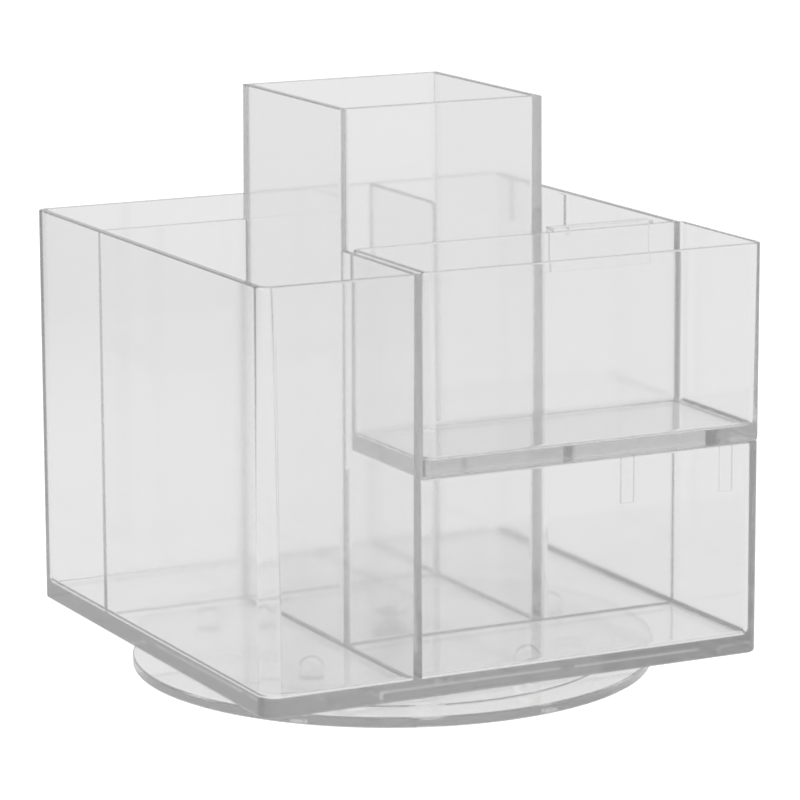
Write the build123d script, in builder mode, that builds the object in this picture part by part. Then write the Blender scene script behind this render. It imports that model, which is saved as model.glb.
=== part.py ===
from build123d import *
import os
import math

os.makedirs("parts", exist_ok=True)

# ---------------------------------------------------------------------------
# Rotating pen holder, clear moulded plastic. Millimetres, +Z up.
# Origin: centre of the turntable, on the surface that the feet stand on.
# +X runs along the front wall to the right, +Y goes to the back.
# ---------------------------------------------------------------------------

# ---- overall ----
side = 142.2            # the body is square in plan
half = side / 2
wall = 2.1              # the outer upright walls of the body
wall_in = half - wall

# ---- heights ----
foot_proud = 0.6        # feet below the disc
disc_z0 = foot_proud
disc_t = 2.8
disc_z1 = disc_z0 + disc_t
slab_z0 = 10.0          # underside of the body's floor slab
floor_z = slab_z0 + 4.4
body_z1 = slab_z0 + 107.6
tower_z1 = slab_z0 + 143.5
low_wall_z1 = slab_z0 + 56.0

# ---- plan of the pinwheel ----
# each face of the tower runs on as one face of a divider; all of them lean
# with the draft of the mould: place at the rim, place at the floor
left_face = (-28.85, -29.4)     # x, tower and front divider
right_face = (29.35, 29.6)      # x, tower and back divider
front_face = (-29.5, -29.9)     # y, tower and right divider
back_face = (29.6, 29.9)        # y, tower and left divider
front_divider = (-27.35, -26.9)  # x, the divider's other face
back_divider = (27.85, 27.4)    # x
right_divider = (-28.15, -27.8)  # y
left_divider = (28.25, 27.8)    # y
tower_wall = 2.1        # at the rim of the tower
tower_foot = 2.55       # and at the floor

corner_big = 4.0        # outer corners front left and back right
corner_back_left = 2.6
corner_front_right = 3.4
corner_in_right = (2.2, 3.4)    # inside of that corner, at the floor and at the open end
corner_in_left = (2.4, 1.6)     # inside of the back left corner
corner_in_big = (3.6, 2.6)      # inside of the big corners: they lean in
corner_steps = 4
corner_tower = 1.6      # in the pockets, where a divider meets the tower
tower_round = 0.45      # outer upright corners of the tower
tower_pocket = 0.7      # inner upright corners of the tower, at the rim
tower_pocket_floor = 1.3
floor_fillet = 0.5      # between floor and dividers
wall_fillet = 1.8       # between floor and outer walls
rim_round = 0.38        # all free top edges
slab_round = 0.8        # underside outer edge of the slab

# ---- guide ribs for a hook, below the top edges ----
rib_w = 3.9
rib_d = 0.5
rib_soft = 0.4          # rounding of the ribs' upright edges
rib_h = 11.6
rib_top = 0.7           # the ribs stop this far below the rim
rib_pitch = 29.1
rib_low_x = 46.4        # middle of the pair on the low front wall
rib_high_y = 45.4       # middle of the pair on the right wall

# ---- tray ----
tray_gap = 0.2          # between the tray's underside and the low walls
tray_x0 = -26.6
tray_x1 = half + 0.1
tray_y0 = -half - 0.1
tray_y1 = -30.05
tray_z0 = low_wall_z1 + tray_gap
tray_z1 = body_z1 + 0.3
tray_floor = 3.9
tray_wall = 1.5         # at the rim
tray_draft = 0.45       # thicker by this much at the tray's floor
tray_corners = (2.2, 3.4, 2.2, 2.6)         # outside: front left, front right, back right, back left
tray_in_rim = (1.3, 2.3, 1.1, 1.5)          # inside, at the rim
tray_in_floor = (1.9, 1.6, 1.6, 1.6)        # and at the tray's floor
tray_round = 0.7        # underside edges
tray_fillet = 1.4
hook_x0 = 31.8
hook_x1 = 61.6
hook_t = 0.8
hook_gap = 0.36         # above and behind the divider
hook_drop = 10.8

# ---- disc ----
disc_r = 69.3
disc_edge = 0.45
step_r = 59.3
step_h = 0.35
hub_r = 5.4
hub_z1 = 4.7
recess_r = 4.9          # for the pin's head, from below
recess_z1 = 2.4

# ---- steadying studs that stand on the disc, just clear of the slab ----
stud_r = 3.25
stud_z1 = 9.5
stud_cap = 3.0          # height of the rounded end
stud_circle = 48.2
stud_count = 5
stud_first = -142.7

# ---- bush and washers ----
bush_or = 3.0
bush_ir = 2.05
flange_r = 4.2
flange_z1 = 5.3
slip_r = 4.2
slip_ir = 2.15
slip_z0 = 5.35
slip_z1 = 5.85
keep_r = 4.25
keep_ir = 2.1
keep_z0 = 1.85
keep_z1 = 2.35

# ---- pivot ----
boss_r = 4.4
boss_z0 = 5.9
pilot_r = 1.5
pilot_z1 = 12.4
shoulder_r = 2.0
head_r = 3.9
head_z0 = 0.75
head_z1 = 1.8
pin_tip = 12.1

# ---- feet ----
foot_r = 4.5
foot_z1 = 1.4
foot_circle = 48.2
foot_count = 5
foot_first = stud_first + 36.0
foot_recess = 0.8       # depth of the shallow recess in the disc
foot_clear = 0.15


# ---------------------------------------------------------------------------
# edge pickers
# ---------------------------------------------------------------------------
def at_z(edges, z, tol=0.01):
    """Edges that lie flat at one height."""
    return ShapeList([e for e in edges
                      if abs(e.bounding_box().min.Z - z) < tol
                      and abs(e.bounding_box().max.Z - z) < tol])


def outline(x0, x1, y0, y1, z, radii):
    """A rectangle with its own radius at each corner: front left, front right,
    back right, back left."""
    with BuildSketch(Plane.XY.offset(z)) as flat:
        with Locations(((x0 + x1) / 2, (y0 + y1) / 2)):
            Rectangle(x1 - x0, y1 - y0)
        for (x, y), r in zip(((x0, y0), (x1, y0), (x1, y1), (x0, y1)), radii):
            fillet(ShapeList([v for v in flat.vertices()
                              if abs(v.X - x) < 0.01 and abs(v.Y - y) < 0.01]), r)
    return flat.sketch


def lean(face, z):
    """Where a leaning face stands at one height."""
    return face[0] + (face[1] - face[0]) * (body_z1 - z) / (body_z1 - floor_z)


def hollow(low, high, z0, z1, r_low, r_high, r_floor, steps=1):
    """A pocket as a solid between two outlines, with a rounded floor edge.
    low and high are x0, x1, y0, y1 at the floor and at the open end. With
    steps, the radii change in a soft curve between the two."""
    with BuildPart() as pocket:
        for k in range(steps + 1):
            f = k / steps
            g = 1.0 - (1.0 - f) ** 1.25
            add(outline(*[a + (b - a) * f for a, b in zip(low, high)], z0 + (z1 - z0) * f,
                        [a + (b - a) * g for a, b in zip(r_low, r_high)]))
        loft(ruled=True)
        fillet(at_z(pocket.edges(), z0), r_floor)
    return pocket.part


def corner_hollow(sx, sy, x_face, y_face, r_wall):
    """One of the four pockets in a corner of the body, on the sx, sy side.
    x_face and y_face are its two leaning faces. What the outer walls shape,
    with the wide floor rounding, and what the dividers shape, with the small
    one, are cut out of each other."""
    z1 = body_z1 + above
    past = 14.0

    def span(s, inner):
        return (inner, wall_in) if s > 0 else (-wall_in, inner)

    def box(z, reach_in, reach_out):
        fx, fy = lean(x_face, z), lean(y_face, z)
        x = span(sx, fx - sx * reach_in)
        y = span(sy, fy - sy * reach_in)
        x = (x[0], x[1] + reach_out) if sx > 0 else (x[0] - reach_out, x[1])
        y = (y[0], y[1] + reach_out) if sy > 0 else (y[0] - reach_out, y[1])
        return x + y

    corner = {(-1, -1): 0, (1, -1): 1, (1, 1): 2, (-1, 1): 3}[(sx, sy)]
    low, high = [0.4] * 4, [0.4] * 4
    low[corner], high[corner] = r_wall
    low[corner - 1] = low[corner - 2] = low[corner - 3] = wall_fillet + 0.5
    high[corner - 1] = high[corner - 2] = high[corner - 3] = wall_fillet + 0.5
    by_walls = hollow(box(floor_z, past, 0), box(z1, past, 0), floor_z, z1, low, high,
                      wall_fillet, corner_steps)
    near = [1.0] * 4
    near[(corner + 2) % 4] = corner_tower
    by_dividers = hollow(box(floor_z, 0, past), box(z1, 0, past), floor_z, z1, near, near, floor_fillet)
    with BuildPart() as both:
        add(by_walls)
        add(by_dividers, mode=Mode.INTERSECT)
    return both.part


# the five hollows of the body, each from the floor up
above = 5.0
cut_front_left = corner_hollow(-1, -1, left_face, left_divider, corner_in_big)
cut_front_right = corner_hollow(1, -1, front_divider, front_face, corner_in_right)
cut_back_right = corner_hollow(1, 1, right_face, right_divider, corner_in_big)
cut_back_left = corner_hollow(-1, 1, back_divider, back_face, corner_in_left)
tf = tower_pocket_floor
tower_top = (lean(left_face, tower_z1 + above), lean(right_face, tower_z1 + above),
             lean(front_face, tower_z1 + above), lean(back_face, tower_z1 + above))
cut_tower = hollow((left_face[1] + tower_foot, right_face[1] - tower_foot,
                    front_face[1] + tower_foot, back_face[1] - tower_foot),
                   (tower_top[0] + tower_wall, tower_top[1] - tower_wall,
                    tower_top[2] + tower_wall, tower_top[3] - tower_wall),
                   floor_z, tower_z1 + above,
                   (tf, tf, tf, tf), (tower_pocket,) * 4, floor_fillet)

# what is taken off the two low walls; its ends lean like the faces of the dividers
cut_z0 = low_wall_z1 - 5.0
with BuildPart() as low_wall_cut:
    for z in (cut_z0, body_z1 + above):
        x0, y1 = lean(front_divider, z), lean(front_face, z)
        with BuildSketch(Plane.XY.offset(z)):
            with Locations(((half + above + x0) / 2, (-half - above + y1) / 2)):
                Rectangle(half + above - x0, half + above + y1)
    loft(ruled=True)

# the top of the low walls, an L that runs on into the front and right divider ends
ell_x0 = (left_face[0] + front_divider[0]) / 2
ell_y1 = (front_face[0] + right_divider[0]) / 2
with BuildPart() as low_wall_top:
    with BuildSketch(Plane.XY.offset(low_wall_z1 - 6.0)) as ell:
        with Locations(((half + ell_x0) / 2, (-half + ell_y1) / 2)):
            Rectangle(half - ell_x0, half + ell_y1)
        fillet(ShapeList([v for v in ell.vertices()
                          if abs(v.X - half) < 0.01 and abs(v.Y + half) < 0.01]), corner_front_right)
    extrude(amount=6.0)
    add(cut_front_right, mode=Mode.SUBTRACT)
    for x1, y0 in ((wall_in - 8.0, -wall_in), (wall_in, -wall_in + 8.0)):
        with BuildSketch(Plane.XY.offset(low_wall_z1 - 7.0)):
            with Locations(((x1 + ell_x0 - 10) / 2, (y0 + ell_y1 + 10) / 2)):
                Rectangle(x1 - ell_x0 + 10, ell_y1 + 10 - y0)
        extrude(amount=8.0, mode=Mode.SUBTRACT)
    fillet(ShapeList([e for e in at_z(low_wall_top.edges(), low_wall_z1)
                      if not (e.center().X < ell_x0 + 0.1 or e.center().Y > ell_y1 - 0.1)]),
           rim_round)

# the tower's tube above the dividers
tube_z0 = floor_z + 10.0
with BuildPart() as tower_tube:
    for z in (tube_z0, tower_z1):
        add(outline(lean(left_face, z), lean(right_face, z), lean(front_face, z), lean(back_face, z),
                    z, (tower_round,) * 4))
    loft(ruled=True)
    add(cut_tower, mode=Mode.SUBTRACT)
    fillet(at_z(tower_tube.edges(), tower_z1), rim_round)

# ---------------------------------------------------------------------------
# compartment_body: slab, outer walls, tower, dividers, ribs and boss
# ---------------------------------------------------------------------------
with BuildPart() as compartment_body:
    # solid block with its four upright corners
    with BuildSketch(Plane.XY.offset(slab_z0)) as plan:
        Rectangle(side, side)
        fillet(ShapeList([v for v in plan.vertices() if v.X * v.Y > 0]), corner_big)
        fillet(ShapeList([v for v in plan.vertices()
                          if abs(v.X + half) < 0.01 and abs(v.Y - half) < 0.01]), corner_back_left)
        fillet(ShapeList([v for v in plan.vertices()
                          if abs(v.X - half) < 0.01 and abs(v.Y + half) < 0.01]), corner_front_right)
    extrude(amount=body_z1 - slab_z0)
    # underside outer edge of the slab
    fillet(at_z(compartment_body.edges(), slab_z0), slab_round)
    # the hollows, then all the edges of the rim
    for cutter in (cut_front_left, cut_back_left, cut_back_right, cut_front_right, cut_tower):
        add(cutter, mode=Mode.SUBTRACT)
    fillet(at_z(compartment_body.edges(), body_z1), rim_round)
    # the outer walls of the front right pocket stop at half height
    add(low_wall_cut.part, mode=Mode.SUBTRACT)
    add(low_wall_top.part)
    # the tower stands above the rest
    add(tower_tube.part)

    # guide ribs inside the low front wall
    with BuildSketch(Plane.XY.offset(low_wall_z1 - rib_top - rib_h)) as low_ribs:
        with Locations((rib_low_x - rib_pitch / 2, -wall_in + rib_d / 2 - 0.5),
                       (rib_low_x + rib_pitch / 2, -wall_in + rib_d / 2 - 0.5)):
            Rectangle(rib_w, rib_d + 1.0)
        fillet(ShapeList([v for v in low_ribs.vertices() if v.Y > -wall_in]), rib_soft)
    extrude(amount=rib_h)
    # guide ribs inside the right wall of the back right pocket
    with BuildSketch(Plane.XY.offset(body_z1 - rib_top - rib_h)) as high_ribs:
        with Locations((wall_in - rib_d / 2 + 0.5, rib_high_y - rib_pitch / 2),
                       (wall_in - rib_d / 2 + 0.5, rib_high_y + rib_pitch / 2)):
            Rectangle(rib_d + 1.0, rib_w)
        fillet(ShapeList([v for v in high_ribs.vertices() if v.X < wall_in]), rib_soft)
    extrude(amount=rib_h)

    # pivot boss under the slab, with the hole for the pin
    with BuildSketch(Plane.XY.offset(boss_z0)):
        Circle(boss_r)
    extrude(amount=slab_z0 - boss_z0 + 0.2)
    fillet(at_z(compartment_body.edges(), boss_z0), 0.35)
    with BuildSketch(Plane.XY.offset(boss_z0 - 1)):
        Circle(pilot_r)
    extrude(amount=pilot_z1 - boss_z0 + 1, mode=Mode.SUBTRACT)
compartment_body.part.label = "compartment_body"
export_step(compartment_body.part, "parts/compartment_body.step")

# ---------------------------------------------------------------------------
# lift_out_tray: an open box with a hook over the divider behind it
# ---------------------------------------------------------------------------
tw = tray_wall + tray_draft
cut_tray = hollow((tray_x0 + tw, tray_x1 - tw, tray_y0 + tw, tray_y1 - tw),
                  (tray_x0 + tray_wall, tray_x1 - tray_wall, tray_y0 + tray_wall, tray_y1 - tray_wall),
                  tray_z0 + tray_floor, tray_z1 + above,
                  tray_in_floor, tray_in_rim, tray_fillet)
hook_y0 = right_divider[0] + hook_gap
hook_y1 = hook_y0 + hook_t
with BuildPart() as lift_out_tray:
    add(outline(tray_x0, tray_x1, tray_y0, tray_y1, tray_z0, tray_corners))
    extrude(amount=tray_z1 - tray_z0)
    add(cut_tray, mode=Mode.SUBTRACT)
    fillet(at_z(lift_out_tray.edges(), tray_z1), rim_round)
    fillet(at_z(lift_out_tray.edges(), tray_z0), tray_round)
    # the hook: a strap from the back wall over the divider, and a flange down behind it
    with BuildSketch(Plane.YZ.offset(hook_x0)) as hook_profile:
        with BuildLine():
            Polyline((tray_y1 - tray_wall + 0.4, tray_z1 - 2.2),
                     (tray_y1 - tray_wall + 0.4, body_z1 + hook_gap + hook_t),
                     (hook_y1, body_z1 + hook_gap + hook_t),
                     (hook_y1, body_z1 - hook_drop),
                     (hook_y0, body_z1 - hook_drop),
                     (hook_y0, body_z1 + hook_gap),
                     (tray_y1 - 0.1, body_z1 + hook_gap),
                     (tray_y1 - 0.1, tray_z1 - 2.2), close=True)
        make_face()
        outer = ShapeList([v for v in hook_profile.vertices()
                           if abs(v.Y - hook_y1) < 0.01 and v.Z > tray_z1])
        fillet(outer, 0.9)
        front = ShapeList([v for v in hook_profile.vertices()
                           if v.Y < tray_y1 - 0.5 and v.Z > tray_z1])
        fillet(front, 0.6)
        tip = ShapeList([v for v in hook_profile.vertices() if abs(v.Z - (body_z1 - hook_drop)) < 0.01])
        fillet(tip, 0.35)
    extrude(amount=hook_x1 - hook_x0)
lift_out_tray.part.label = "lift_out_tray"
export_step(lift_out_tray.part, "parts/lift_out_tray.step")

# ---------------------------------------------------------------------------
# base_disc: foot plate with a shallow ring step, a hub, five studs and
# recesses for the feet
# ---------------------------------------------------------------------------
with BuildPart() as base_disc:
    with BuildSketch(Plane.XY.offset(disc_z0)):
        Circle(disc_r)
    extrude(amount=disc_t)
    fillet(at_z(base_disc.edges(), disc_z1), disc_edge)
    fillet(at_z(base_disc.edges(), disc_z0), disc_edge)
    with BuildSketch(Plane.XY.offset(disc_z1 - 0.1)):
        Circle(step_r)
    extrude(amount=step_h + 0.1)
    fillet(at_z(base_disc.edges(), disc_z1 + step_h), 0.2)
    with BuildSketch(Plane.XY.offset(disc_z1)):
        with PolarLocations(stud_circle, stud_count, start_angle=stud_first):
            Circle(stud_r)
    extrude(amount=stud_z1 - disc_z1)
    fillet(at_z(base_disc.edges(), stud_z1), stud_cap)
    with BuildSketch(Plane.XY.offset(disc_z1)):
        Circle(hub_r)
    extrude(amount=hub_z1 - disc_z1)
    fillet(at_z(base_disc.edges(), hub_z1), 0.3)
    with BuildSketch(Plane.XY.offset(disc_z0 - 1)):
        Circle(bush_or)
    extrude(amount=hub_z1 - disc_z0 + 2, mode=Mode.SUBTRACT)
    with BuildSketch(Plane.XY.offset(disc_z0 - 1)):
        Circle(recess_r)
    extrude(amount=recess_z1 - disc_z0 + 1, mode=Mode.SUBTRACT)
    with BuildSketch(Plane.XY.offset(disc_z0 - 1)):
        with PolarLocations(foot_circle, foot_count, start_angle=foot_first):
            Circle(foot_r + foot_clear)
    extrude(amount=1 + foot_recess, mode=Mode.SUBTRACT)
base_disc.part.label = "base_disc"
export_step(base_disc.part, "parts/base_disc.step")

# ---------------------------------------------------------------------------
# pivot_bush: sleeve in the hub with a flange on top
# ---------------------------------------------------------------------------
with BuildPart() as pivot_bush:
    with BuildSketch(Plane.XY.offset(recess_z1)):
        Circle(bush_or)
    extrude(amount=flange_z1 - recess_z1)
    with BuildSketch(Plane.XY.offset(hub_z1)):
        Circle(flange_r)
    extrude(amount=flange_z1 - hub_z1)
    fillet(at_z(pivot_bush.edges(), flange_z1), 0.15)
    with BuildSketch(Plane.XY.offset(recess_z1 - 1)):
        Circle(bush_ir)
    extrude(amount=flange_z1 - recess_z1 + 2, mode=Mode.SUBTRACT)
pivot_bush.part.label = "pivot_bush"
export_step(pivot_bush.part, "parts/pivot_bush.step")

# ---------------------------------------------------------------------------
# slip_washer and retaining_washer
# ---------------------------------------------------------------------------
with BuildPart() as slip_washer:
    with BuildSketch(Plane.XY.offset(slip_z0)):
        Circle(slip_r)
        Circle(slip_ir, mode=Mode.SUBTRACT)
    extrude(amount=slip_z1 - slip_z0)
slip_washer.part.label = "slip_washer"
export_step(slip_washer.part, "parts/slip_washer.step")

with BuildPart() as retaining_washer:
    with BuildSketch(Plane.XY.offset(keep_z0)):
        Circle(keep_r)
        Circle(keep_ir, mode=Mode.SUBTRACT)
    extrude(amount=keep_z1 - keep_z0)
retaining_washer.part.label = "retaining_washer"
export_step(retaining_washer.part, "parts/retaining_washer.step")

# ---------------------------------------------------------------------------
# pivot_pin: clear moulded pin, flat head, plain shoulder, thinner end that is
# pressed into the boss
# ---------------------------------------------------------------------------
with BuildPart() as pivot_pin:
    with BuildSketch(Plane.XZ):
        with BuildLine():
            Polyline((0, head_z0), (head_r - 0.35, head_z0), (head_r, head_z0 + 0.35), (head_r, head_z1),
                     (shoulder_r, head_z1), (shoulder_r, boss_z0), (pilot_r, boss_z0),
                     (pilot_r, pin_tip - 0.5), (pilot_r - 0.5, pin_tip), (0, pin_tip), close=True)
        make_face()
    revolve(axis=Axis.Z)
pivot_pin.part.label = "pivot_pin"
export_step(pivot_pin.part, "parts/pivot_pin.step")

# ---------------------------------------------------------------------------
# anti_slip_feet: pads in the disc's recesses
# ---------------------------------------------------------------------------
with BuildPart() as anti_slip_feet:
    with BuildSketch(Plane.XY):
        with PolarLocations(foot_circle, foot_count, start_angle=foot_first):
            Circle(foot_r)
    extrude(amount=foot_z1)
    fillet(at_z(anti_slip_feet.edges(), 0.0), 0.25)
anti_slip_feet.part.label = "anti_slip_feet"
export_step(anti_slip_feet.part, "parts/anti_slip_feet.step")

for piece in (compartment_body, lift_out_tray, base_disc, pivot_bush, slip_washer,
              retaining_washer, pivot_pin, anti_slip_feet):
    box = piece.part.bounding_box()
    print(piece.part.label, "solids", len(piece.part.solids()), "volume", round(piece.part.volume, 1),
          "z", round(box.min.Z, 2), round(box.max.Z, 2))
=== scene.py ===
import bpy
import math
from mathutils import Matrix, Vector

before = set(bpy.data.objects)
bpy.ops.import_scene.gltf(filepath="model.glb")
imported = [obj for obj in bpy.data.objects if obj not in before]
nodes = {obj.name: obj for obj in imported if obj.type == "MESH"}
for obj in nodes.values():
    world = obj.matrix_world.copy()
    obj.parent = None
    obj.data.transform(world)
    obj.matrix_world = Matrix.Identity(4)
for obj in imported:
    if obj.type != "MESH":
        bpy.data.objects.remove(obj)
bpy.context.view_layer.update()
scene = bpy.context.scene

# ---------------------------------------------------------------------------
# numbers that set the look
# ---------------------------------------------------------------------------
IOR = 1.57                # clear moulded polystyrene
ABSORB = 11.5             # per metre, seen only along a sheet
PAINTED_GLOW = 0.235              # painted glow: an emission that a long way through the plastic settles at, standing in for stray room light
AROUND = 0.835            # brightness of the room as the plastic shows it
SKYLINE = 1.0             # and low down behind the things, where floors mirror it
BACK = 1.0                # brightness of the paper as the camera sees it
DIM = 0.55                # how much the room falls off towards the unlit side
DIM_PAPER = 0.18          # and the paper there


# ---------------------------------------------------------------------------
# small helpers for node trees
# ---------------------------------------------------------------------------
class Tree:
    """A material's or world's node tree, with short calls for nodes and links."""

    def __init__(self, owner):
        owner.use_nodes = True
        self.t = owner.node_tree
        self.t.nodes.clear()
        self.x = 0

    def n(self, kind, **values):
        node = self.t.nodes.new(kind)
        self.x += 180
        node.location = (self.x, 0)
        for key, value in values.items():
            setattr(node, key, value)
        return node

    def link(self, a, b):
        self.t.links.new(a, b)

    def math(self, op, a, b=None, c=None, clamp=False):
        node = self.n("ShaderNodeMath", operation=op, use_clamp=clamp)
        for i, v in enumerate((a, b, c)):
            if v is None:
                continue
            if isinstance(v, (int, float)):
                node.inputs[i].default_value = v
            else:
                self.link(v, node.inputs[i])
        return node.outputs[0]

    def ranged(self, value, a, b, c, d, smooth=False):
        node = self.n("ShaderNodeMapRange")
        if smooth:
            node.interpolation_type = "SMOOTHSTEP"
        self.link(value, node.inputs["Value"])
        for name, v in (("From Min", a), ("From Max", b), ("To Min", c), ("To Max", d)):
            node.inputs[name].default_value = v
        return node.outputs["Result"]

    def noise(self, vector, scale, detail=2.0, rough=0.5, distort=0.0):
        node = self.n("ShaderNodeTexNoise")
        self.link(vector, node.inputs["Vector"])
        node.inputs["Scale"].default_value = scale
        node.inputs["Detail"].default_value = detail
        node.inputs["Roughness"].default_value = rough
        node.inputs["Distortion"].default_value = distort
        return node.outputs["Fac"]

    def stretched(self, vector, scale, turn=(0, 0, 0)):
        node = self.n("ShaderNodeMapping")
        self.link(vector, node.inputs["Vector"])
        node.inputs["Scale"].default_value = scale
        node.inputs["Rotation"].default_value = turn
        return node.outputs[0]


def material(name):
    m = bpy.data.materials.new(name)
    return m, Tree(m)


def dress(node, mat):
    """The node's own mesh keeps its shape and takes this material."""
    data = nodes[node].data
    data.materials.clear()
    data.materials.append(mat)


# ---------------------------------------------------------------------------
# clear plastic
# ---------------------------------------------------------------------------
def clear_plastic(name, tint, absorb, wave, wave_scale, haze, through):
    m, t = material(name)
    out = t.n("ShaderNodeOutputMaterial")
    place = t.n("ShaderNodeTexCoord").outputs["Object"]

    # long soft waves left by the mould and the flow of the plastic
    slow = t.noise(t.stretched(place, (1.0, 1.0, 0.55)), wave_scale, 1.5, 0.45, 0.6)
    # light rubbing from pens and hands: fine directional marks, gathered in patches
    rub = t.noise(t.stretched(place, (1.0, 1.0, 0.08), (0.35, 0.2, 0.6)), 900.0, 3.0, 0.6)
    rub_other = t.noise(t.stretched(place, (0.09, 1.0, 1.0), (0.1, 0.7, 0.2)), 700.0, 3.0, 0.6)
    patches = t.ranged(t.noise(place, 26.0, 3.0, 0.6), 0.5, 0.72, 0.0, 1.0, True)
    marks = t.math("MULTIPLY", t.ranged(t.math("MAXIMUM", rub, rub_other), 0.62, 0.8, 0.0, 1.0), patches)

    rough = t.math("MULTIPLY_ADD", marks, 0.06, haze)

    bump_slow = t.n("ShaderNodeBump")
    bump_slow.inputs["Strength"].default_value = 1.0
    bump_slow.inputs["Distance"].default_value = wave
    t.link(slow, bump_slow.inputs["Height"])
    bump = t.n("ShaderNodeBump")
    bump.inputs["Strength"].default_value = 0.25
    bump.inputs["Distance"].default_value = 0.000002
    t.link(marks, bump.inputs["Height"])
    t.link(bump_slow.outputs["Normal"], bump.inputs["Normal"])

    p = t.n("ShaderNodeBsdfPrincipled")
    p.inputs["Base Color"].default_value = (*tint, 1.0)
    p.inputs["IOR"].default_value = IOR
    p.inputs["Transmission Weight"].default_value = 1.0
    t.link(rough, p.inputs["Roughness"])
    t.link(bump.outputs["Normal"], p.inputs["Normal"])

    # lamps reach what stands behind or under the plastic
    clear = t.n("ShaderNodeBsdfTransparent")
    clear.inputs["Color"].default_value = (through, through, through, 1.0)
    path = t.n("ShaderNodeLightPath")
    fac = t.math("MAXIMUM", path.outputs["Is Shadow Ray"], path.outputs["Is Diffuse Ray"])
    mix = t.n("ShaderNodeMixShader")
    t.link(fac, mix.inputs[0])
    t.link(p.outputs[0], mix.inputs[1])
    t.link(clear.outputs[0], mix.inputs[2])
    t.link(mix.outputs[0], out.inputs["Surface"])

    # inside: a trace of grey, and a painted glow, an emission in the plastic that stands in for stray room light
    grey = t.n("ShaderNodeVolumeAbsorption")
    grey.inputs["Color"].default_value = (0.5, 0.5, 0.5, 1.0)
    grey.inputs["Density"].default_value = absorb * 2.0
    # painted glow: the volume emits light of its own, in place of room light scattered in the plastic
    painted_glow = t.n("ShaderNodeEmission")
    painted_glow.inputs["Color"].default_value = (1.0, 1.0, 1.0, 1.0)
    painted_glow.inputs["Strength"].default_value = absorb * PAINTED_GLOW
    inside = t.n("ShaderNodeAddShader")
    t.link(grey.outputs[0], inside.inputs[0])
    t.link(painted_glow.outputs[0], inside.inputs[1])
    t.link(inside.outputs[0], out.inputs["Volume"])
    return m


body_mat = clear_plastic("clear_body", (0.995, 0.995, 0.995), ABSORB, 0.000010, 34.0, 0.055, 0.97)
tray_mat = clear_plastic("clear_tray", (0.995, 0.995, 0.995), ABSORB, 0.000010, 38.0, 0.055, 0.97)
disc_mat = clear_plastic("clear_disc", (0.995, 0.995, 0.995), ABSORB, 0.000008, 44.0, 0.055, 0.97)
dress("compartment_body", body_mat)
dress("lift_out_tray", tray_mat)
dress("base_disc", disc_mat)


# ---------------------------------------------------------------------------
# pivot parts and feet
# ---------------------------------------------------------------------------
def silicone():
    m, t = material("silicone")
    out = t.n("ShaderNodeOutputMaterial")
    place = t.n("ShaderNodeTexCoord").outputs["Object"]
    p = t.n("ShaderNodeBsdfPrincipled")
    p.inputs["Base Color"].default_value = (0.97, 0.97, 0.97, 1)
    p.inputs["IOR"].default_value = 1.41
    p.inputs["Transmission Weight"].default_value = 0.4
    t.link(t.ranged(t.noise(place, 1800.0, 3.0), 0.3, 0.7, 0.25, 0.4), p.inputs["Roughness"])
    bump = t.n("ShaderNodeBump")
    bump.inputs["Distance"].default_value = 0.00001
    bump.inputs["Strength"].default_value = 0.3
    t.link(t.noise(place, 3500.0, 2.0), bump.inputs["Height"])
    t.link(bump.outputs["Normal"], p.inputs["Normal"])
    clear = t.n("ShaderNodeBsdfTransparent")
    clear.inputs["Color"].default_value = (0.98, 0.98, 0.98, 1.0)
    path = t.n("ShaderNodeLightPath")
    fac = t.math("MAXIMUM", path.outputs["Is Shadow Ray"], path.outputs["Is Diffuse Ray"])
    mix = t.n("ShaderNodeMixShader")
    t.link(fac, mix.inputs[0])
    t.link(p.outputs[0], mix.inputs[1])
    t.link(clear.outputs[0], mix.inputs[2])
    t.link(mix.outputs[0], out.inputs["Surface"])
    return m


pin_mat = clear_plastic("clear_pin", (0.995, 0.995, 0.995), ABSORB, 0.000004, 90.0, 0.02, 0.97)
film_mat = clear_plastic("clear_film", (0.99, 0.99, 0.99), ABSORB, 0.000004, 90.0, 0.06, 0.96)
silicone_mat = silicone()
dress("pivot_bush", disc_mat)
dress("slip_washer", film_mat)
dress("retaining_washer", film_mat)
dress("pivot_pin", pin_mat)
dress("anti_slip_feet", silicone_mat)

# ---------------------------------------------------------------------------
# floor: pale paper, seen directly by the camera and lit by the lamps; the
# plastic sees it as an even light surface
# ---------------------------------------------------------------------------
half = 6.0
mesh = bpy.data.meshes.new("floor")
mesh.from_pydata([(-half, -half, -0.0003), (half, -half, -0.0003), (half, half, -0.0003), (-half, half, -0.0003)],
                 [], [(0, 1, 2, 3)])
floor = bpy.data.objects.new("floor", mesh)
scene.collection.objects.link(floor)

m, t = material("paper")
out = t.n("ShaderNodeOutputMaterial")
path = t.n("ShaderNodeLightPath")
lit = t.n("ShaderNodeBsdfDiffuse")
lit.inputs["Color"].default_value = (0.92, 0.92, 0.92, 1)
own = t.n("ShaderNodeEmission")
own.inputs["Color"].default_value = (1, 1, 1, 1)
own.inputs["Strength"].default_value = 0.55
both = t.n("ShaderNodeAddShader")
t.link(lit.outputs[0], both.inputs[0])
t.link(own.outputs[0], both.inputs[1])
even = t.n("ShaderNodeEmission")
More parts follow.
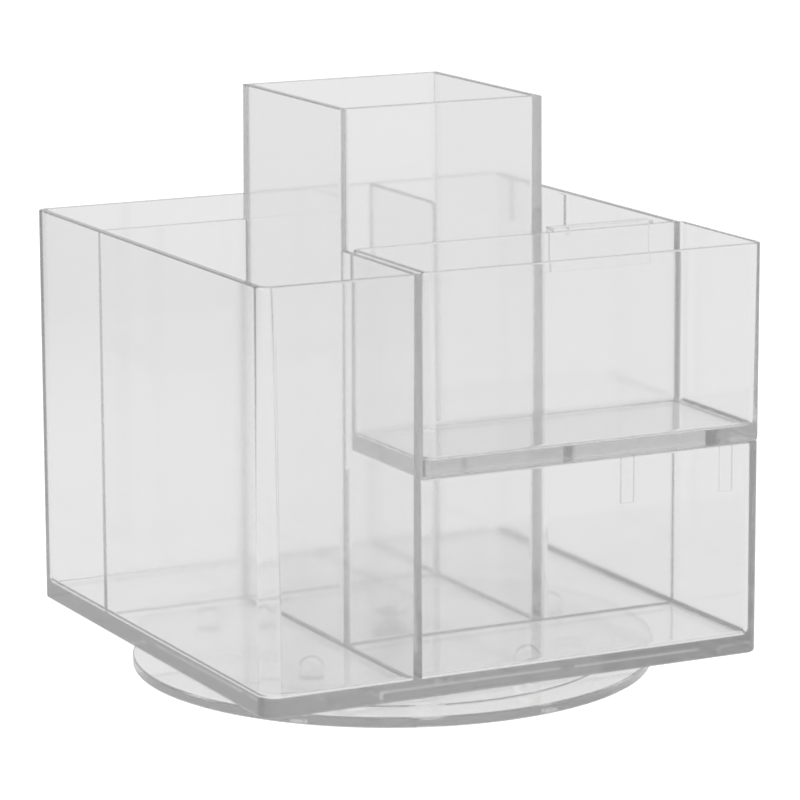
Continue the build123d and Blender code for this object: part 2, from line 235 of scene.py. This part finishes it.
# towards the unlit side of the room the paper gets a little darker
place = t.n("ShaderNodeTexCoord").outputs["Object"]
heading = t.n("ShaderNodeVectorMath", operation="NORMALIZE")
t.link(place, heading.inputs[0])
aside = t.n("ShaderNodeVectorMath", operation="DOT_PRODUCT")
t.link(heading.outputs["Vector"], aside.inputs[0])
aside.inputs[1].default_value = (-0.446, 0.895, 0.0)
away = t.n("ShaderNodeVectorMath", operation="LENGTH")
t.link(place, away.inputs[0])
side_on = t.math("MULTIPLY", t.ranged(aside.outputs["Value"], 0.68, 0.97, 0.0, 1.0, True),
                 t.ranged(away.outputs["Value"], 0.3, 0.7, 0.0, 1.0, True))
t.link(t.ranged(side_on, 0.0, 1.0, AROUND, AROUND * (1.0 - DIM_PAPER)), even.inputs["Strength"])
mix = t.n("ShaderNodeMixShader")
t.link(path.outputs["Is Camera Ray"], mix.inputs[0])
t.link(even.outputs[0], mix.inputs[1])
t.link(both.outputs[0], mix.inputs[2])
t.link(mix.outputs[0], out.inputs["Surface"])
mesh.materials.append(m)

# ---------------------------------------------------------------------------
# room: even pale light, a little darker high up
# ---------------------------------------------------------------------------
world = bpy.data.worlds.new("room")
scene.world = world
t = Tree(world)
out = t.n("ShaderNodeOutputWorld")
path = t.n("ShaderNodeLightPath")
place = t.n("ShaderNodeTexCoord").outputs["Generated"]
split = t.n("ShaderNodeSeparateXYZ")
t.link(place, split.inputs[0])
level = t.ranged(split.outputs["Z"], 0.25, 1.0, SKYLINE, 0.65, True)
# the side of the room behind the left of the things has no lamp
aside = t.n("ShaderNodeVectorMath", operation="DOT_PRODUCT")
t.link(place, aside.inputs[0])
aside.inputs[1].default_value = (-0.446, 0.895, 0.0)
level = t.math("MULTIPLY", level, t.ranged(aside.outputs["Value"], 0.68, 0.97, 1.0, 1.0 - DIM, True))
seen = t.n("ShaderNodeBackground")
seen.inputs["Strength"].default_value = BACK
room = t.n("ShaderNodeBackground")
t.link(level, room.inputs["Strength"])
mix = t.n("ShaderNodeMixShader")
t.link(path.outputs["Is Camera Ray"], mix.inputs[0])
t.link(room.outputs[0], mix.inputs[1])
t.link(seen.outputs[0], mix.inputs[2])
t.link(mix.outputs[0], out.inputs["Surface"])


def softbox(name, place, target, size, power):
    data = bpy.data.lights.new(name, "AREA")
    data.shape = "RECTANGLE"
    data.size, data.size_y = size
    data.energy = power
    o = bpy.data.objects.new(name, data)
    scene.collection.objects.link(o)
    o.location = place
    o.rotation_euler = (Vector(target) - Vector(place)).to_track_quat("-Z", "Y").to_euler()
    o.visible_camera = False
    return o


softbox("softbox_top", (0.1, 0.2, 1.6), (0, 0, 0.05), (1.4, 1.4), 9.0)
softbox("softbox_left", (-1.6, -0.3, 0.9), (0, 0, 0.08), (1.0, 1.0), 6.0)

# ---------------------------------------------------------------------------
# camera
# ---------------------------------------------------------------------------
cam_data = bpy.data.cameras.new("camera")
cam_data.lens = 188.46
cam_data.sensor_width = 36.0
cam_data.sensor_fit = "HORIZONTAL"
cam_data.clip_start = 0.01
cam_data.clip_end = 60.0
camera = bpy.data.objects.new("camera", cam_data)
scene.collection.objects.link(camera)
yaw, pitch, roll = math.radians(-26.98), math.radians(11.45), math.radians(-0.20)
fwd = Vector((-math.sin(yaw) * math.cos(pitch), math.cos(yaw) * math.cos(pitch), -math.sin(pitch)))
right = fwd.cross(Vector((0, 0, 1))).normalized()
up = right.cross(fwd)
r2 = right * math.cos(roll) + up * math.sin(roll)
u2 = -right * math.sin(roll) + up * math.cos(roll)
turn = Matrix((r2, u2, -fwd)).transposed().to_4x4()
camera.matrix_world = Matrix.Translation(Vector((-0.4906, -0.9690, 0.2909))) @ turn
scene.camera = camera

# ---------------------------------------------------------------------------
# render options that belong to clear plastic
# ---------------------------------------------------------------------------
c = scene.cycles
c.max_bounces = 40
c.transmission_bounces = 40
c.glossy_bounces = 40
c.diffuse_bounces = 3
c.transparent_max_bounces = 40
c.volume_bounces = 2
c.blur_glossy = 0.0
c.caustics_reflective = False
c.caustics_refractive = False
c.sample_clamp_indirect = 6.0
c.use_denoising = True
c.pixel_filter_type = "BLACKMAN_HARRIS"
c.filter_width = 2.0
scene.view_settings.view_transform = "Standard"
scene.view_settings.look = "None"
scene.view_settings.exposure = 0.0
scene.view_settings.gamma = 1.0
